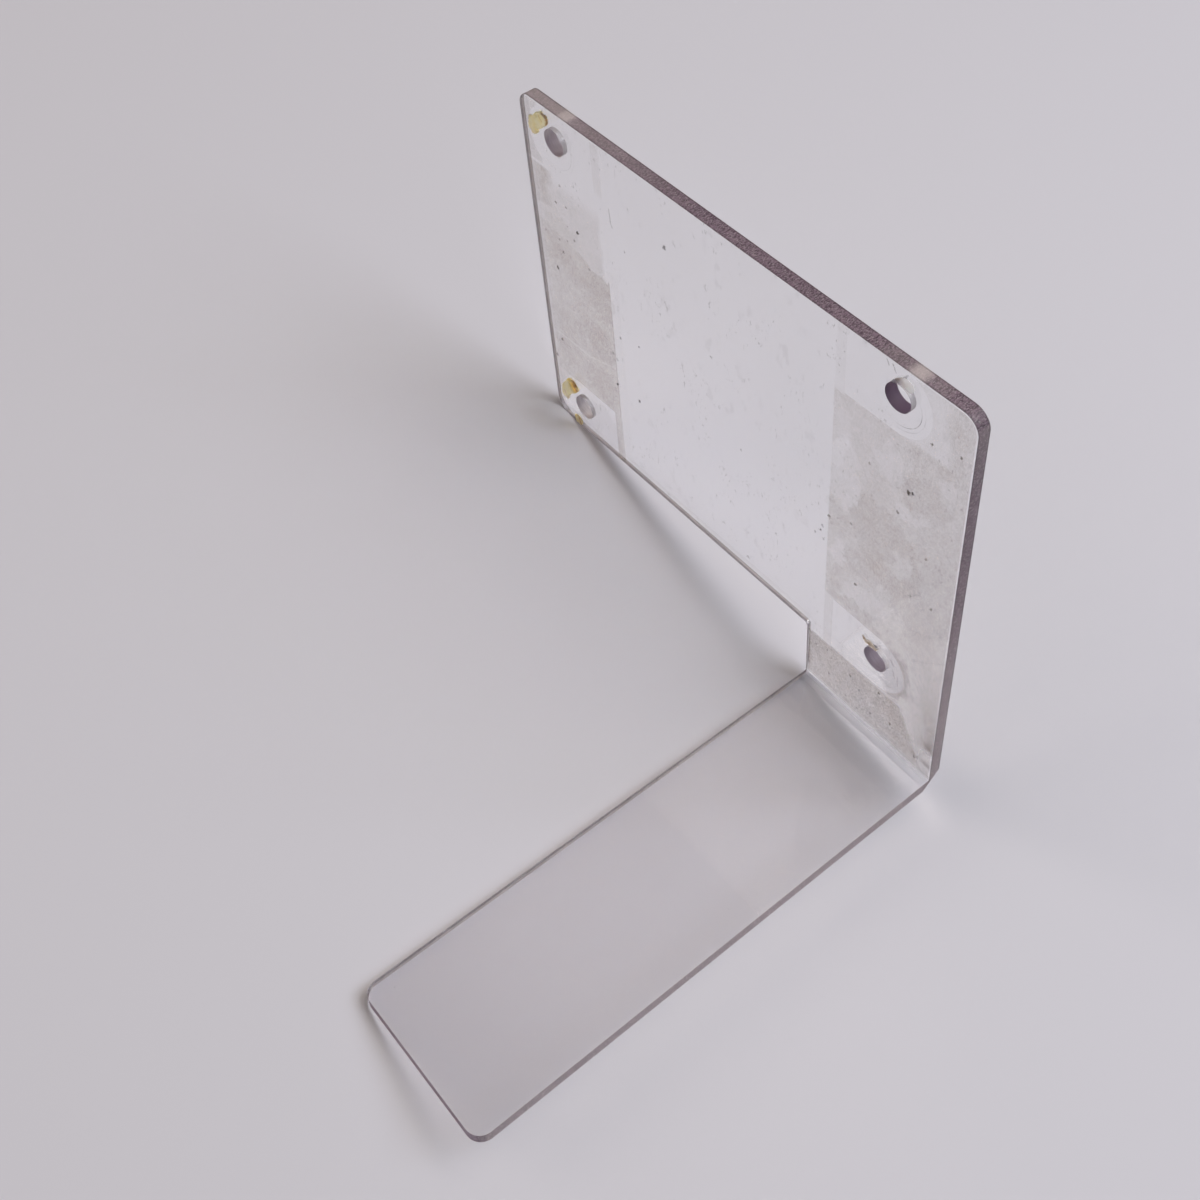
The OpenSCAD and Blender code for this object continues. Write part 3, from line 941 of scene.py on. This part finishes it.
# %% How the stand leans
corner_r = 4.5 * mm
corner_centre = Vector((left_x + corner_r, front_y, panel_low_z + corner_r))
foot_edge = Vector((neck_x, flat_on_foot.y, flat_on_foot.z))
arm = corner_centre - foot_edge
arm_up = -arm.dot(foot_down)
arm_length = math.hypot(arm.x, arm_up)
lean = math.acos(corner_r / arm_length) - math.atan2(-arm.x, arm_up)
table_up = (math.sin(lean) * Vector((1, 0, 0)) - math.cos(lean) * foot_down).normalized()
table_right = foot_along.cross(table_up).normalized() * -1
table_back = -foot_along
table = Matrix((table_right, table_back, table_up)).transposed()
print(f"the stand leans {math.degrees(lean):.2f} degrees")

# %% Floor
floor_size = 6
floor_gap = 0.03 * mm
bpy.ops.object.select_all(action="DESELECT")
bpy.ops.mesh.primitive_plane_add(size=floor_size)
floor = bpy.context.active_object
floor.name = "floor"
floor.matrix_world = table.to_4x4()
floor.location = foot_edge - floor_gap * table_up
floor.data.materials.append(Finish("pale_floor").set(Base_Color=(0.620, 0.609, 0.656), Roughness=0.7))
print(f"the floor is {floor_size} m wide and passes {floor_gap / mm} mm under the foot's edge")

# %% [markdown]
# ### World
#
# The world has two faces. Rays from the camera, also those that pass the clear
# sheet or glance off it, meet a pale backdrop. Rays that have already left the
# floor meet a dim grey. With the pale tone there too, the backdrop would light
# the floor through the sheet and wash out the shadows.

# %% World
dim_tone, backdrop_tone = (0.05, 0.05, 0.05), (0.40, 0.385, 0.405)
world = bpy.data.worlds.new("studio")
bpy.context.scene.world = world
backdrop = NodeTree(world)
from_camera, glanced_off, passed_sheet, floor_touches = (
    backdrop.node("ShaderNodeLightPath", {}, {}, output)
    for output in ("Is Camera Ray", "Is Glossy Ray", "Is Transmission Ray", "Diffuse Depth"))
seen = from_camera.most(glanced_off).most(passed_sheet) * floor_touches.below(0.5)
backdrop.plug(world.node_tree.nodes["Background"].inputs["Color"],
              backdrop.blend(seen, dim_tone, backdrop_tone))
print("world:", len(world.node_tree.nodes), "nodes")

# %% [markdown]
# ### Lamps
#
# Three square lamps light the table at a plain level. The first is the window:
# it stands behind the stand to the right and casts the shadow to the front
# left. The other two are warmer and fill that shadow. None of them stands where
# the foot would mirror it into the camera.

# %% Lamps
daylight, warm_light = (0.99, 1.06, 1.18), (1.03, 0.93, 0.83)
lamp_spread = 0.6


def softbox(name, heading, height, distance, power, tint):
    """A square lamp at a heading and height in degrees over the table, aimed at the stand."""
    way = table @ Vector((math.sin(math.radians(heading)) * math.cos(math.radians(height)),
                          math.cos(math.radians(heading)) * math.cos(math.radians(height)),
                          math.sin(math.radians(height))))
    lamp = bpy.data.objects.new(name, bpy.data.lights.new(name, "AREA"))
    bpy.context.scene.collection.objects.link(lamp)
    lamp.data.shape = "SQUARE"
    lamp.data.size = distance * lamp_spread
    lamp.data.energy = power * distance ** 2
    lamp.data.color = tint
    lamp.location = foot_edge + way * distance
    lamp.rotation_euler = way.to_track_quat("Z", "Y").to_euler()
    print(f"{name}: {lamp.data.energy:.1f} W, {distance} m away")


softbox("window", heading=45, height=55, distance=1.5, power=4.9, tint=daylight)
softbox("overhead", heading=0, height=75, distance=1.3, power=3.5, tint=warm_light)
softbox("near_fill", heading=225, height=35, distance=2.6, power=3.5, tint=warm_light)

# %% [markdown]
# ### Camera
#
# The camera looks down at the stand from its right. Two options of the renderer
# belong to the clear sheet. Without `blur_glossy = 0` the light that passes the
# sheet is smoothed away, and its shadow turns too dark. Light also turns back
# many times inside the bend and the edges: with the usual limit of bounces its
# path ends there, which leaves black patches.

# %% Camera
camera = bpy.data.objects.new("camera", bpy.data.cameras.new("camera"))
bpy.context.scene.collection.objects.link(camera)
camera.location = Vector((177.7, -93.3, 316.26)) * mm
camera.rotation_euler = [math.radians(a) for a in (42.36, 2.10, 49.59)]
camera.data.sensor_width = 36
camera.data.lens = 48.78
camera.data.shift_x = -0.0677
camera.data.shift_y = -0.1307
camera.data.clip_start = 0.01
bpy.context.scene.camera = camera
bpy.context.scene.view_settings.view_transform = "Standard"
most_bounces = 24
cycles = bpy.context.scene.cycles
cycles.blur_glossy = 0
cycles.max_bounces = cycles.glossy_bounces = cycles.transmission_bounces = most_bounces
print(f"camera {camera.location.length:.2f} m away, lens {camera.data.lens:.1f} mm")

# %% Update the scene
bpy.context.view_layer.update()
